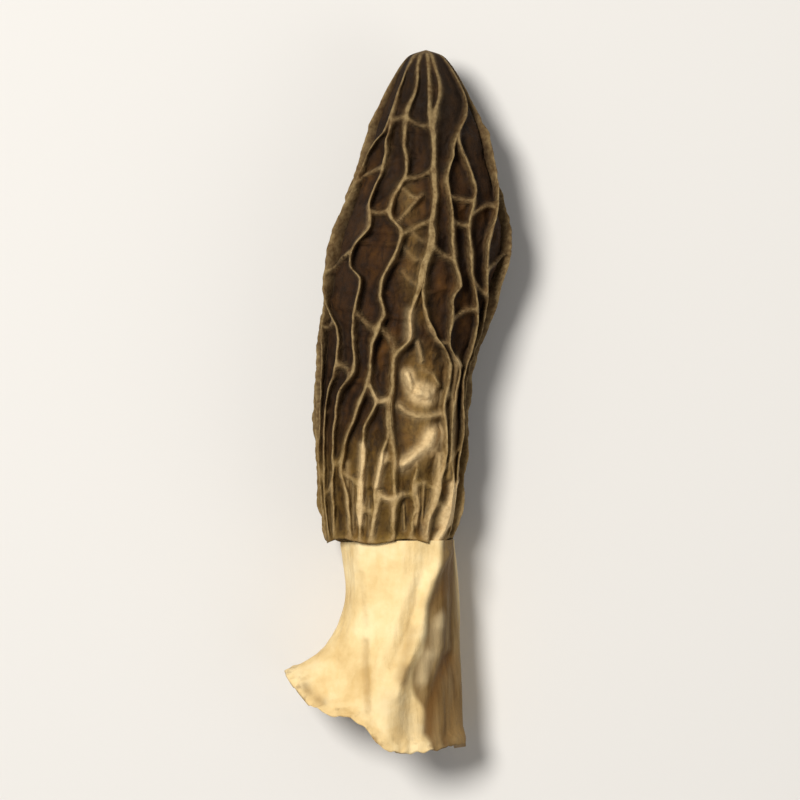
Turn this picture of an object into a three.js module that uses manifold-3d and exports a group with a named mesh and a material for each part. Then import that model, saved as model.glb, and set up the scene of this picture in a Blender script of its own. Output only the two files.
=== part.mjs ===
// A dried morel mushroom, whole from the tip of its cap to its cut stem, lying on its side.
// Millimetres. +Y runs from the cut stem to the tip of the cap, and +Z is up.
// Both pieces are worked out round one growth axis, whose zero is at the cap's margin.
import * as THREE from "three";
import { mergeVertices } from "three/addons/utils/BufferGeometryUtils.js";
import Module from "manifold-3d";

// Cap: share of its length from the margin to the tip, then a value in millimetres
const CAP_LENGTH = 48.7;
const CAP_HALF_WIDTH = [
  [0, 6.5], [0.1, 7.2], [0.2, 7.65], [0.32, 7.7], [0.4, 8], [0.51, 8.8], [0.61, 9],
  [0.67, 8.3], [0.77, 6.7], [0.84, 5.7], [0.91, 4.2], [0.945, 3.3], [0.975, 2.3], [0.99, 1.5],
  [1, 0],
];
const CAP_MIDDLE_X = [
  [0, -1], [0.2, -0.7], [0.32, -0.6], [0.4, 0], [0.51, 1.2], [0.61, 2.3], [0.77, 2.8], [1, 2.7],
];
const CAP_HALF_DEPTH_BELOW = [
  [0, 6.2], [0.2, 7.35], [0.4, 7.7], [0.6, 7.8], [0.77, 6], [0.91, 3.9], [0.945, 3.1],
  [0.975, 2.2], [0.99, 1.4], [1, 0],
];
const DEPTH_SHARE_ABOVE = 0.95;
const PIT_DEPTH = [[0, 0.8], [0.08, 1.3], [0.3, 1.8], [0.6, 2.2], [0.8, 1.8], [0.93, 1], [1, 0]];
const FULL_DEPTH_GAP = 1.7;
const LEAST_HALF_WIDTH = 0.5;
const CREST_HALF_WIDTH = 0.34;
const CREST_LARGEST_SHARE = 0.2;
const PIT_SIDES_ACROSS = [0.38, 0.64];
const CREST_UNEVEN = 0.22;
const UNEVEN_ALONG = 9;
const UNEVEN_PER_RIB = 2.4;
const UNEVEN_FADE_AT_TIP = 6;
const MARGIN_RISE = 0.2;
const MARGIN_WAVE = 0.25;
const MARGIN_WAVES = 6;
const MARGIN_REACH = 0.08;

// Ribs: share of the cap's length and angle in degrees, from straight up towards +X.
// A rib that joins another (+1 is the next one, -1 the one before) does so from that share up.
const SEEN_RIBS = [
  {
    path: [
      [0, -72], [0.09, -70], [0.19, -70], [0.3, -67], [0.37, -69], [0.49, -80], [0.6, -84], [0.7, -83],
      [0.85, -84],
    ],
  },
  {
    path: [
      [0, -65], [0.15, -63], [0.24, -61], [0.3, -55], [0.34, -48], [0.42, -49], [0.46, -58],
      [0.5, -72], [0.6, -80], [0.7, -79], [0.77, -70], [0.8, -60], [0.83, -48],
    ],
    joins: 1,
    above: 0.83,
  },
  {
    path: [
      [0, -52], [0.2, -49], [0.26, -45], [0.31, -40], [0.35, -32], [0.45, -35], [0.53, -36],
      [0.56, -48], [0.6, -48], [0.64, -40], [0.69, -44], [0.75, -38], [0.84, -38], [0.95, -42],
    ],
  },
  {
    path: [[0, -36], [0.1, -36], [0.15, -42], [0.2, -38], [0.25, -30], [0.3, -23], [0.34, -20]],
    joins: 1,
    above: 0.31,
  },
  {
    path: [
      [0, -25], [0.1, -23], [0.2, -21], [0.24, -18], [0.28, -12], [0.3, -14], [0.33, -18], [0.4, -19],
      [0.44, -17], [0.46, -14], [0.5, -20], [0.55, -18], [0.58, -15], [0.63, -15], [0.66, -25],
      [0.69, -25], [0.74, -18], [0.78, -19], [0.86, -24], [0.92, -16], [0.97, -19],
    ],
  },
  {
    path: [[0, -14], [0.06, -10], [0.15, -8], [0.18, -6], [0.22, -2], [0.26, -3]],
    joins: 1,
    above: 0.26,
  },
  {
    path: [
      [0, 2], [0.15, 3], [0.24, 0], [0.34, -1], [0.38, 1], [0.41, 7], [0.45, 4], [0.49, 4], [0.53, 6],
    ],
    joins: 2,
    above: 0.5,
  },
  { path: [[0, 20], [0.12, 20], [0.17, 22]], joins: 1, above: 0.18 },
  {
    path: [
      [0, 30], [0.05, 31], [0.1, 35], [0.16, 39], [0.25, 41], [0.35, 44], [0.38, 38], [0.4, 31],
      [0.42, 22], [0.45, 15], [0.48, 11], [0.52, 10], [0.58, 8], [0.63, 8], [0.66, 4], [0.7, 4],
      [0.75, 1], [0.79, 5], [0.86, 11], [0.92, 22], [0.98, 20],
    ],
  },
  {
    path: [
      [0, 54], [0.1, 54], [0.2, 50], [0.25, 53], [0.3, 57], [0.35, 57], [0.38, 46], [0.4, 39],
      [0.43, 35], [0.46, 33], [0.5, 29], [0.52, 31], [0.6, 22], [0.67, 17], [0.73, 14], [0.78, 19],
      [0.83, 30], [0.9, 58], [0.96, 64],
    ],
  },
  {
    path: [
      [0, 68], [0.15, 66], [0.26, 69], [0.36, 66], [0.44, 62], [0.47, 56], [0.51, 46], [0.56, 37],
      [0.63, 32], [0.7, 39], [0.74, 38], [0.79, 31],
    ],
    joins: -1,
    above: 0.81,
  },
  {
    path: [
      [0, 82], [0.3, 81], [0.4, 77], [0.47, 68], [0.51, 58], [0.56, 50], [0.62, 48], [0.69, 60],
      [0.75, 74], [0.8, 76], [0.88, 88], [0.96, 92],
    ],
  },
  { path: [[0, 96], [0.3, 94], [0.47, 86], [0.59, 80], [0.72, 92], [0.85, 106], [0.96, 116]] },
];
const JOINS_OVER = [-0.02, 0.06];
const LEAST_GAP = 0.8;

// Ribs of the underside: how far they wander, and how many times on their way up
const HIDDEN_RIBS = 10;
const RIB_WANDER = 4.5;
const WANDER_TURNS = [1.2, 2.3];
const QUICK_WANDER_TURNS = 2.15;
const QUICK_WANDER_SHARE = 0.45;
const HIDDEN_FORK_HEIGHT = 0.72;
const HIDDEN_FORK_EVERY = 3;

// Links between a rib and the next: share of the length at the first rib, and at the second
const SEEN_LINKS = [
  [0, 0.15, 0.12], [0, 0.44, 0.45], [0, 0.7, 0.66], [1, 0.1, 0.13], [1, 0.36, 0.33], [1, 0.55, 0.59],
  [1, 0.73, 0.76], [2, 0.67, 0.67], [2, 0.85, 0.86], [2, 0.47, 0.43], [2, 0.16, 0.17], [3, 0.15, 0.12],
  [4, 0.285, 0.29], [4, 0.44, 0.375], [4, 0.08, 0.06], [4, 0.735, 0.755], [4, 0.62, 0.65],
  [4, 0.86, 0.84], [5, 0.15, 0.17], [5, 0.095, 0.085], [6, 0.085, 0.095], [7, 0.12, 0.1],
  [8, 0.6, 0.57], [8, 0.3, 0.27], [8, 0.15, 0.17], [8, 0.08, 0.05], [9, 0.7, 0.69], [9, 0.65, 0.64],
  [9, 0.17, 0.2], [9, 0.45, 0.47], [10, 0.66, 0.68], [10, 0.53, 0.5], [10, 0.36, 0.32],
  [10, 0.12, 0.15], [11, 0.72, 0.69], [11, 0.55, 0.59], [11, 0.4, 0.36], [11, 0.2, 0.16],
];
const LINK_HEIGHT = 0.8;

// Links of the underside, at even steps with a little chance in them
const HIDDEN_LINKS = 5;
const HIDDEN_LINK_FIRST = 0.08;
const HIDDEN_LINK_STEP = 0.16;
const HIDDEN_LINK_CHANCE = 0.8;
const HIDDEN_LINK_SLANT = 0.09;

// Hollow of the cap, which carries on the hollow of the stem
const CAP_HOLLOW_RADIUS = [
  [-0.04, 3.9], [0, 3.9], [0.2, 4.4], [0.4, 4.7], [0.55, 5.2], [0.66, 4.7], [0.77, 3.4], [0.86, 1.6],
];
const CAP_HOLLOW_X = [[0, -0.3], [0.2, -0.5], [0.4, 0], [0.55, 1.5], [0.66, 2.3], [0.86, 2.8]];
const HOLLOW_DEPTH_SHARE = 0.9;
const HOLLOW_END = 1;

// Stem: share of the way from its top to its cut edge, then how far it reaches from the axis
const STEM_TOP = -0.2;
const STEM_LEFT = [[0, 5.7], [0.31, 5.2], [0.56, 5.6], [0.75, 6.9], [0.88, 9], [1, 11.1]];
const STEM_RIGHT = [[0, 5.6], [0.3, 5.9], [1, 6]];
const STEM_ABOVE = [[0, 5.4], [0.35, 5.2], [0.7, 5.5], [1, 6.3]];
const STEM_BELOW = [[0, 5.3], [0.35, 5.1], [0.6, 5.5], [0.8, 6.4], [1, 7.5]];
const STEM_WALL = 1.35;
const FOLD_SHARE_INSIDE = 0.5;

// Cut edge of the stem: angle in degrees round it, then its place along the axis
const CUT_EDGE = [
  [-90, -12.8], [-62, -14.3], [-48, -16.2], [-26, -17.2], [-16, -18.2], [-9, -19.7], [0, -20.3],
  [27, -20.5], [80, -20], [130, -19.2], [180, -17.6], [230, -15], [270, -12.8],
];

// Diagonal fold of the stem, with a sunken face between it and the stem's right side
const FOLD_ANGLE = [[0, 44], [0.6, 7], [1, -13]];
const FOLD_HEIGHT = 0.35;
const FOLD_HALF_ANGLE = 8;
const FACE_END_ANGLE = 86;
const FACE_DEPTH = [[0, 0.15], [0.4, 0.6], [1, 0.95]];
const STEM_RIPPLE = 0.16;
const STEM_RIPPLES = 7;
const RIPPLE_TWIST = 4;

// How high the axis lies: lower than the ribs reach, so that the lowest ones are worn flat
const AXIS_HEIGHT = 7.4;

// Fineness
const CAP_ROWS = 48;
const ROW_CROWDING = 1.25;
const HOLLOW_SIDES = 20;
const HOLLOW_ROWS = 14;
const STEM_SIDES = 36;
const STEM_ROWS = 14;
const SAME_POINT = 1e-4;

const RADIANS = Math.PI / 180;
const wasm = await Module();
wasm.setup();

// A smooth curve through [place, value] stations, level beyond its ends
function curveThrough(stations) {
  const last = stations.length - 1;
  const slopeAt = (k) => {
    const before = stations[Math.max(k - 1, 0)];
    const after = stations[Math.min(k + 1, last)];
    return (after[1] - before[1]) / (after[0] - before[0]);
  };
  return (place) => {
    if (place <= stations[0][0]) return stations[0][1];
    if (place >= stations[last][0]) return stations[last][1];
    const k = stations.findIndex((station) => station[0] >= place) - 1;
    const [from, a] = stations[k];
    const [to, b] = stations[k + 1];
    const span = to - from;
    const u = (place - from) / span;
    const startSlope = slopeAt(k) * span;
    const endSlope = slopeAt(k + 1) * span;
    const square = 3 * (b - a) - 2 * startSlope - endSlope;
    const cube = 2 * (a - b) + startSlope + endSlope;
    return a + u * (startSlope + u * (square + u * cube));
  };
}

// The same number from 0 to 1 for the same seed each time
function chance(seed) {
  const wave = Math.sin(seed * 12.9898) * 43758.5453;
  return wave - Math.floor(wave);
}

const capHalfWidth = curveThrough(CAP_HALF_WIDTH);
const capMiddleX = curveThrough(CAP_MIDDLE_X);
const capHalfDepthBelow = curveThrough(CAP_HALF_DEPTH_BELOW);
const pitDepth = curveThrough(PIT_DEPTH);

// Ribs of the side that lies undermost: even steps round the cap, each wandering in its own way
function hiddenRib(number) {
  const first = SEEN_RIBS[SEEN_RIBS.length - 1].path;
  const last = SEEN_RIBS[0].path;
  const share = (number + 1) / (HIDDEN_RIBS + 1);
  const from = curveThrough(first);
  const to = curveThrough(last);
  const phase = 2 * Math.PI * chance(number + 1);
  const turns = THREE.MathUtils.lerp(...WANDER_TURNS, chance(number + HIDDEN_RIBS));
  const path = (t) => {
    const even = from(t) * (1 - share) + (to(t) + 360) * share;
    const way = 2 * Math.PI * turns * t;
    const slow = Math.sin(way + phase);
    const quick = Math.sin(QUICK_WANDER_TURNS * way + 2 * phase);
    return even + RIB_WANDER * (slow + QUICK_WANDER_SHARE * quick);
  };
  const forks = number % HIDDEN_FORK_EVERY === 1;
  return { at: path, joins: forks ? 1 : 0, above: HIDDEN_FORK_HEIGHT };
}

const RIBS = SEEN_RIBS.map((rib) => ({
  at: curveThrough(rib.path),
  joins: rib.joins ?? 0,
  above: rib.above ?? 1,
}));
for (let number = 0; number < HIDDEN_RIBS; number++) RIBS.push(hiddenRib(number));

// Angles of all ribs at one height, kept in order and a little apart
function ribAngles(t) {
  const angles = RIBS.map((rib) => rib.at(t));
  RIBS.forEach((rib, number) => {
    if (!rib.joins) return;
    const [from, to] = JOINS_OVER;
    const together = THREE.MathUtils.smoothstep(t, rib.above + from, rib.above + to);
    const neighbour = RIBS[number + rib.joins].at(t) - rib.joins * LEAST_GAP;
    angles[number] += together * (neighbour - angles[number]);
  });
  for (let number = 1; number < angles.length; number++)
    angles[number] = Math.max(angles[number], angles[number - 1] + LEAST_GAP);
  return angles;
}

// Links by the gap they lie in
function linksOfGap(gap) {
  if (gap < SEEN_RIBS.length - 1) return SEEN_LINKS.filter((link) => link[0] === gap);
  const links = [];
  for (let number = 0; number < HIDDEN_LINKS; number++) {
    const seed = 2 * (gap * HIDDEN_LINKS + number);
    const step = number + HIDDEN_LINK_CHANCE * chance(seed);
    const start = HIDDEN_LINK_FIRST + HIDDEN_LINK_STEP * step;
    const slant = HIDDEN_LINK_SLANT * (chance(seed + 1) - 0.5);
    links.push([gap, start, start + slant]);
  }
  return links;
}
const LINKS = RIBS.map((rib, gap) => linksOfGap(gap));

// Rows crowd together towards the tip
const rowHeight = (row) => 1 - (1 - row / CAP_ROWS) ** ROW_CROWDING;
const nearestRow = (t) => Math.round(CAP_ROWS * (1 - (1 - t) ** (1 / ROW_CROWDING)));

// How far a link fills the pit in a row, at a share of the way across its gap
function linkFill(gap, across, row) {
  const meets = ([, start, end]) => nearestRow(start + (end - start) * across) === row;
  return LINKS[gap].some(meets) ? LINK_HEIGHT : 0;
}

// Four angles and depths for each rib: its two crest edges, then the two sides of the pit floor
function capColumns(row) {
  const t = rowHeight(row);
  const angles = ribAngles(t);
  const width = Math.max(capHalfWidth(t), LEAST_HALF_WIDTH);
  const columns = [];
  angles.forEach((angle, number) => {
    const isLast = number === angles.length - 1;
    const next = isLast ? angles[0] + 360 : angles[number + 1];
    const before = number ? angles[number - 1] : angles[angles.length - 1] - 360;
    const crest = CREST_HALF_WIDTH / width / RADIANS;
    const gap = next - angle;
    const rightEdge = angle + Math.min(crest, CREST_LARGEST_SHARE * gap);
    const leftEdge = angle - Math.min(crest, CREST_LARGEST_SHARE * (angle - before));
    const gapLength = gap * RADIANS * width;
    const depth = pitDepth(t) * Math.min(1, gapLength / FULL_DEPTH_GAP);
    const swell = Math.sin(UNEVEN_ALONG * t + UNEVEN_PER_RIB * number);
    const uneven = CREST_UNEVEN * swell * Math.min(1, UNEVEN_FADE_AT_TIP * (1 - t));
    columns.push({ angle: leftEdge, depth: -uneven });
    columns.push({ angle: rightEdge, depth: -uneven });
    for (const across of PIT_SIDES_ACROSS) {
      const fill = linkFill(number, across, row);
      columns.push({ angle: angle + across * gap, depth: depth * (1 - fill) });
    }
  });
  return columns;
}

// A point of the cap's skin, sunk by a depth below the crests
function capPoint(t, angle, depth, lift = 0) {
  const turn = angle * RADIANS;
  const halfWidth = capHalfWidth(t);
  const above = Math.cos(turn) > 0;
  const halfDepth = above ? DEPTH_SHARE_ABOVE * halfWidth : capHalfDepthBelow(t);
  const x = capMiddleX(t) + Math.max(halfWidth - depth, 0) * Math.sin(turn);
  const z = Math.max(halfDepth - depth, 0) * Math.cos(turn);
  return [x, CAP_LENGTH * t + lift, z];
}

// A closed mesh from rings of equally many points, with a fan on a middle point at each end
function closedRings(rings, startPoint, endPoint) {
  const sides = rings[0].length;
  const points = [...rings.flat(), startPoint, endPoint];
  const start = points.length - 2;
  const end = points.length - 1;
  const faces = [];
  for (let side = 0; side < sides; side++) {
    const next = (side + 1) % sides;
    faces.push(start, next, side);
    for (let row = 0; row < rings.length - 1; row++) {
      const here = row * sides;
      const there = here + sides;
      faces.push(here + side, there + next, there + side);
      faces.push(here + side, here + next, there + next);
    }
    const top = (rings.length - 1) * sides;
    faces.push(top + side, top + next, end);
  }
  return meshGeometry(points, faces);
}

// A closed tube from rings that run along its outside and back along its inside
function closedLoops(rings) {
  const sides = rings[0].length;
  const faces = [];
  for (let row = 0; row < rings.length; row++) {
    const here = row * sides;
    const there = ((row + 1) % rings.length) * sides;
    for (let side = 0; side < sides; side++) {
      const next = (side + 1) % sides;
      faces.push(here + side, there + next, there + side);
      faces.push(here + side, here + next, there + next);
    }
  }
  return meshGeometry(rings.flat(), faces);
}

function meshGeometry(points, faces) {
  const geometry = new THREE.BufferGeometry();
  geometry.setAttribute("position", new THREE.Float32BufferAttribute(points.flat(), 3));
  geometry.setIndex(faces);
  return geometry;
}

function toSolid(geometry) {
  const bare = new THREE.BufferGeometry();
  bare.setAttribute("position", geometry.getAttribute("position").clone());
  bare.setIndex(geometry.index);
  const merged = mergeVertices(bare, SAME_POINT);
  const solid = new wasm.Manifold(
    new wasm.Mesh({
      numProp: 3,
      vertProperties: new Float32Array(merged.attributes.position.array),
      triVerts: new Uint32Array(merged.index.array),
    }),
  );
  return solid;
}

function toGeometry(solid) {
  const mesh = solid.getMesh();
  const geometry = new THREE.BufferGeometry();
  geometry.setAttribute("position", new THREE.BufferAttribute(mesh.vertProperties, 3));
  geometry.setIndex(new THREE.BufferAttribute(mesh.triVerts, 1));
  geometry.computeVertexNormals();
  return geometry;
}

// What lies lower than the surface that the mushroom rests on
function belowTheSurface() {
  const side = 3 * CAP_LENGTH;
  const block = new THREE.BoxGeometry(side, side, side);
  block.deleteAttribute("normal");
  block.deleteAttribute("uv");
  return toSolid(block.translate(0, 0, -AXIS_HEIGHT - side / 2));
}

// Outside of the cap: ribs with pits between them, down to its wavy margin
function capOutside() {
  const rings = [];
  for (let row = 0; row < CAP_ROWS; row++) {
    const t = rowHeight(row);
    const fade = Math.max(0, 1 - t / MARGIN_REACH);
    rings.push(
      capColumns(row).map(({ angle, depth }) => {
        const wave = MARGIN_RISE + MARGIN_WAVE * Math.sin(MARGIN_WAVES * angle * RADIANS);
        return capPoint(t, angle, depth, wave * fade);
      }),
    );
  }
  const underside = [capMiddleX(0), MARGIN_RISE, 0];
  const tip = capPoint(1, 0, 0);
  return closedRings(rings, underside, tip);
}

// Hollow of the cap: a smooth blind bore that starts below the margin
function capHollow() {
  const radius = curveThrough(CAP_HOLLOW_RADIUS);
  const middle = curveThrough(CAP_HOLLOW_X);
  const low = CAP_HOLLOW_RADIUS[0][0];
  const high = CAP_HOLLOW_RADIUS[CAP_HOLLOW_RADIUS.length - 1][0];
  const rings = [];
  for (let row = 0; row <= HOLLOW_ROWS; row++) {
    const t = low + ((high - low) * row) / HOLLOW_ROWS;
    const ring = [];
    for (let side = 0; side < HOLLOW_SIDES; side++) {
      const turn = (2 * Math.PI * side) / HOLLOW_SIDES;
      const x = middle(t) + radius(t) * Math.sin(turn);
      const z = HOLLOW_DEPTH_SHARE * radius(t) * Math.cos(turn);
      ring.push([x, CAP_LENGTH * t, z]);
    }
    rings.push(ring);
  }
  const mouth = [middle(low), CAP_LENGTH * low, 0];
  const end = [middle(high), CAP_LENGTH * high + HOLLOW_END, 0];
  return closedRings(rings, mouth, end);
}

function makeCap(floor) {
  const outside = toSolid(capOutside());
  const hollow = toSolid(capHollow());
  return toGeometry(outside.subtract(hollow).subtract(floor));
}

// How far the fold and the sunken face beside it push the stem's skin in or out
function foldOffset(share, angle) {
  const fold = curveThrough(FOLD_ANGLE)(share);
  const away = (angle - fold) / FOLD_HALF_ANGLE;
  const ridge = FOLD_HEIGHT * Math.exp(-away * away);
  const onFace = angle > fold && angle < FACE_END_ANGLE;
  const across = (angle - fold) / (FACE_END_ANGLE - fold);
  const sunk = onFace ? curveThrough(FACE_DEPTH)(share) * Math.sin(Math.PI * across) : 0;
  const ripple = STEM_RIPPLE * Math.sin(STEM_RIPPLES * angle * RADIANS + RIPPLE_TWIST * share);
  return ridge - sunk + ripple;
}

// A point of the stem's skin, or of its hollow when a wall is taken off
function stemPoint(share, angle, wall) {
  const turn = angle * RADIANS;
  const sideways = curveThrough(Math.sin(turn) > 0 ? STEM_RIGHT : STEM_LEFT)(share);
  const upwards = curveThrough(Math.cos(turn) > 0 ? STEM_ABOVE : STEM_BELOW)(share);
  const fold = foldOffset(share, angle);
  const offset = wall > 0 ? FOLD_SHARE_INSIDE * fold - wall : fold;
  const cut = curveThrough(CUT_EDGE)(angle);
  return [
    (sideways + offset) * Math.sin(turn),
    STEM_TOP + share * (cut - STEM_TOP),
    (upwards + offset) * Math.cos(turn),
  ];
}

function stemRing(share, wall) {
  const ring = [];
  for (let side = 0; side < STEM_SIDES; side++)
    ring.push(stemPoint(share, -90 + (360 * side) / STEM_SIDES, wall));
  return ring;
}

function makeStem(floor) {
  const rings = [];
  for (let row = STEM_ROWS; row >= 0; row--) rings.push(stemRing(row / STEM_ROWS, 0));
  for (let row = 0; row <= STEM_ROWS; row++) rings.push(stemRing(row / STEM_ROWS, STEM_WALL));
  return toGeometry(toSolid(closedLoops(rings)).subtract(floor));
}

function namedMesh(name, geometry, color, roughness) {
  const material = new THREE.MeshStandardMaterial({ color, roughness, metalness: 0 });
  const mesh = new THREE.Mesh(geometry, material);
  mesh.name = name;
  return mesh;
}

const floor = belowTheSurface();
const morel = new THREE.Group();
morel.add(namedMesh("cap", makeCap(floor), 0x6e5836, 0.85));
morel.add(namedMesh("stem", makeStem(floor), 0xf2d9a6, 0.75));

// The origin is at the middle of the underside of the whole mushroom's box
const box = new THREE.Box3().setFromObject(morel);
const middle = box.getCenter(new THREE.Vector3());
for (const mesh of morel.children) mesh.position.set(-middle.x, -middle.y, AXIS_HEIGHT);

export default morel;
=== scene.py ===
"""A dried morel mushroom that lies on its side, seen from straight above.

Lengths are in millimetres round the growth axis, whose zero is at the cap's margin,
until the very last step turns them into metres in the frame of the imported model.
"""

import math

import bpy
import numpy as np
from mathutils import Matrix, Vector, noise


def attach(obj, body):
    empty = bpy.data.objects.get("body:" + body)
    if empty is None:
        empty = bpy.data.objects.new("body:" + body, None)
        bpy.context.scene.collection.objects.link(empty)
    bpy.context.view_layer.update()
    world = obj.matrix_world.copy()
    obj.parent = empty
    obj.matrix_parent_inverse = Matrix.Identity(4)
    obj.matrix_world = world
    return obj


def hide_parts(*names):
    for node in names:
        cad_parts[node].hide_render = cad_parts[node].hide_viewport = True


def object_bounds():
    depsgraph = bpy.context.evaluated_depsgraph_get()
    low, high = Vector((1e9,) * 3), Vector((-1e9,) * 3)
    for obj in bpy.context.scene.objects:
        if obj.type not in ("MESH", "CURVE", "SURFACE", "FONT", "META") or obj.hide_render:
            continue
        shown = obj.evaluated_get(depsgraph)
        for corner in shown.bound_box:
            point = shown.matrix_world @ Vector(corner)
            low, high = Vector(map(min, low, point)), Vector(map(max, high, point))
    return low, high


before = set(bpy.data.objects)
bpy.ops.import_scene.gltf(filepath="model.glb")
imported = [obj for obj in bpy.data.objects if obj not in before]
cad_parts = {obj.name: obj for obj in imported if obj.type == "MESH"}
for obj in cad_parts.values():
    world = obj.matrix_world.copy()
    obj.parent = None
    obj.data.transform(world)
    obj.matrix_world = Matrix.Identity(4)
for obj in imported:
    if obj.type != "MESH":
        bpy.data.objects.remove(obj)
cad_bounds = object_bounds()

MM = 0.001
PLACE = (-0.137, -14.095, 7.4)

# Cap: share of its length from the margin to the tip, then a value
CAP_LENGTH = 48.7
CAP_HALF_WIDTH = [
    (0, 6.5), (0.1, 7.2), (0.2, 7.65), (0.32, 7.7), (0.4, 8), (0.51, 8.8), (0.61, 9),
    (0.67, 8.3), (0.77, 6.7), (0.84, 5.7), (0.91, 4.2), (0.945, 3.3), (0.975, 2.3),
    (0.99, 1.5), (1, 0),
]
CAP_MIDDLE_X = [
    (0, -1), (0.2, -0.7), (0.32, -0.6), (0.4, 0), (0.51, 1.2), (0.61, 2.3), (0.77, 2.8), (1, 2.7),
]
CAP_HALF_DEPTH_BELOW = [
    (0, 6.2), (0.2, 7.35), (0.4, 7.7), (0.6, 7.8), (0.77, 6), (0.91, 3.9), (0.945, 3.1),
    (0.975, 2.2), (0.99, 1.4), (1, 0),
]
DEPTH_SHARE_ABOVE = 0.95
PIT_DEPTH = [(0, 0.8), (0.08, 1.3), (0.3, 1.8), (0.6, 2.2), (0.8, 1.8), (0.93, 1), (1, 0)]
FULL_DEPTH_GAP = 1.7
LEAST_HALF_WIDTH = 0.5
CREST_UNEVEN = 0.22
UNEVEN_ALONG = 9
UNEVEN_PER_RIB = 2.4
UNEVEN_FADE_AT_TIP = 6
MARGIN_RISE = 0.2
MARGIN_WAVE = 0.25
MARGIN_WAVES = 6
MARGIN_REACH = 0.08

# Ribs: share of the length and angle in degrees, from straight up towards +X,
# then which neighbour a rib joins, and from what share up
SEEN_RIBS = [
    ([(0, -72), (0.09, -70), (0.19, -70), (0.3, -67), (0.37, -69), (0.49, -80), (0.6, -84),
      (0.7, -83), (0.85, -84)], 0, 1),
    ([(0, -65), (0.15, -63), (0.24, -61), (0.3, -55), (0.34, -48), (0.42, -49), (0.46, -58),
      (0.5, -72), (0.6, -80), (0.7, -79), (0.77, -70), (0.8, -60), (0.83, -48)], 1, 0.83),
    ([(0, -52), (0.2, -49), (0.26, -45), (0.31, -40), (0.35, -32), (0.45, -35), (0.53, -36),
      (0.56, -48), (0.6, -48), (0.64, -40), (0.69, -44), (0.75, -38), (0.84, -38),
      (0.95, -42)], 0, 1),
    ([(0, -36), (0.1, -36), (0.15, -42), (0.2, -38), (0.25, -30), (0.3, -23),
      (0.34, -20)], 1, 0.31),
    ([(0, -25), (0.1, -23), (0.2, -21), (0.24, -18), (0.28, -12), (0.3, -14), (0.33, -18),
      (0.4, -19), (0.44, -17), (0.46, -14), (0.5, -20), (0.55, -18), (0.58, -15), (0.63, -15),
      (0.66, -25), (0.69, -25), (0.74, -18), (0.78, -19), (0.86, -24), (0.92, -16),
      (0.97, -19)], 0, 1),
    ([(0, -14), (0.06, -10), (0.15, -8), (0.18, -6), (0.22, -2), (0.26, -3)], 1, 0.26),
    ([(0, 2), (0.15, 3), (0.24, 0), (0.34, -1), (0.38, 1), (0.41, 7), (0.45, 4), (0.49, 4),
      (0.53, 6)], 2, 0.5),
    ([(0, 20), (0.12, 20), (0.2, 21), (0.37, 23)], 1, 0.39),
    ([(0, 33), (0.055, 34.5), (0.1, 38), (0.16, 40), (0.25, 41), (0.35, 44), (0.38, 38), (0.4, 31),
      (0.42, 22), (0.45, 15), (0.48, 11), (0.52, 10), (0.58, 8), (0.63, 8), (0.66, 4), (0.7, 4),
      (0.75, 1), (0.79, 5), (0.86, 11), (0.92, 22), (0.98, 20)], 0, 1),
    ([(0, 46), (0.025, 54), (0.05, 59), (0.08, 60), (0.12, 59), (0.16, 55), (0.2, 52),
      (0.25, 53), (0.3, 57), (0.35, 57), (0.38, 46), (0.4, 39),
      (0.43, 35), (0.46, 33), (0.5, 29), (0.52, 31), (0.6, 22), (0.67, 17), (0.73, 14), (0.78, 19),
      (0.83, 30), (0.9, 58), (0.96, 64)], 0, 1),
    ([(0, 68), (0.15, 66), (0.26, 69), (0.36, 66), (0.44, 62), (0.47, 56), (0.51, 46), (0.56, 37),
      (0.63, 32), (0.7, 39), (0.74, 38), (0.79, 31)], -1, 0.81),
    ([(0, 82), (0.3, 81), (0.4, 77), (0.47, 68), (0.51, 58), (0.56, 50), (0.62, 48), (0.69, 60),
      (0.75, 74), (0.8, 76), (0.88, 88), (0.96, 92)], 0, 1),
    ([(0, 96), (0.3, 94), (0.47, 86), (0.59, 80), (0.72, 92), (0.85, 106), (0.96, 116)], 0, 1),
]
JOINS_OVER = (-0.02, 0.06)
LEAST_GAP = 0.4

# Ribs of the underside: how far they wander, and how many times on their way up
HIDDEN_RIBS = 10
RIB_WANDER = 4.5
WANDER_TURNS = (1.2, 2.3)
QUICK_WANDER_TURNS = 2.15
QUICK_WANDER_SHARE = 0.45
HIDDEN_FORK_HEIGHT = 0.72
HIDDEN_FORK_EVERY = 3

# Links between a rib and the next: share of the length at the first rib, and at the second
SEEN_LINKS = [
    (0, 0.15, 0.12), (0, 0.44, 0.45), (0, 0.7, 0.66), (1, 0.1, 0.13), (1, 0.36, 0.33),
    (1, 0.55, 0.59), (1, 0.73, 0.76), (2, 0.67, 0.67), (2, 0.85, 0.86), (2, 0.47, 0.43),
    (2, 0.16, 0.17), (3, 0.15, 0.12), (4, 0.285, 0.29), (4, 0.44, 0.375), (4, 0.08, 0.06),
    (4, 0.735, 0.755), (4, 0.62, 0.65), (4, 0.86, 0.84), (5, 0.15, 0.17), (5, 0.095, 0.085),
    (6, 0.085, 0.095), (7, 0.12, 0.1), (8, 0.6, 0.57), (8, 0.3, 0.27), (8, 0.15, 0.17),
    (8, 0.08, 0.05), (9, 0.7, 0.69), (9, 0.65, 0.64), (9, 0.17, 0.2), (9, 0.45, 0.47),
    (10, 0.66, 0.68), (10, 0.53, 0.5), (10, 0.36, 0.32), (10, 0.12, 0.15), (11, 0.72, 0.69),
    (11, 0.55, 0.59), (11, 0.4, 0.36), (11, 0.2, 0.16),
]

# Links of the underside, at even steps with a little chance in them
HIDDEN_LINKS = 5
HIDDEN_LINK_FIRST = 0.08
HIDDEN_LINK_STEP = 0.16
HIDDEN_LINK_CHANCE = 0.8
HIDDEN_LINK_SLANT = 0.09

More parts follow.
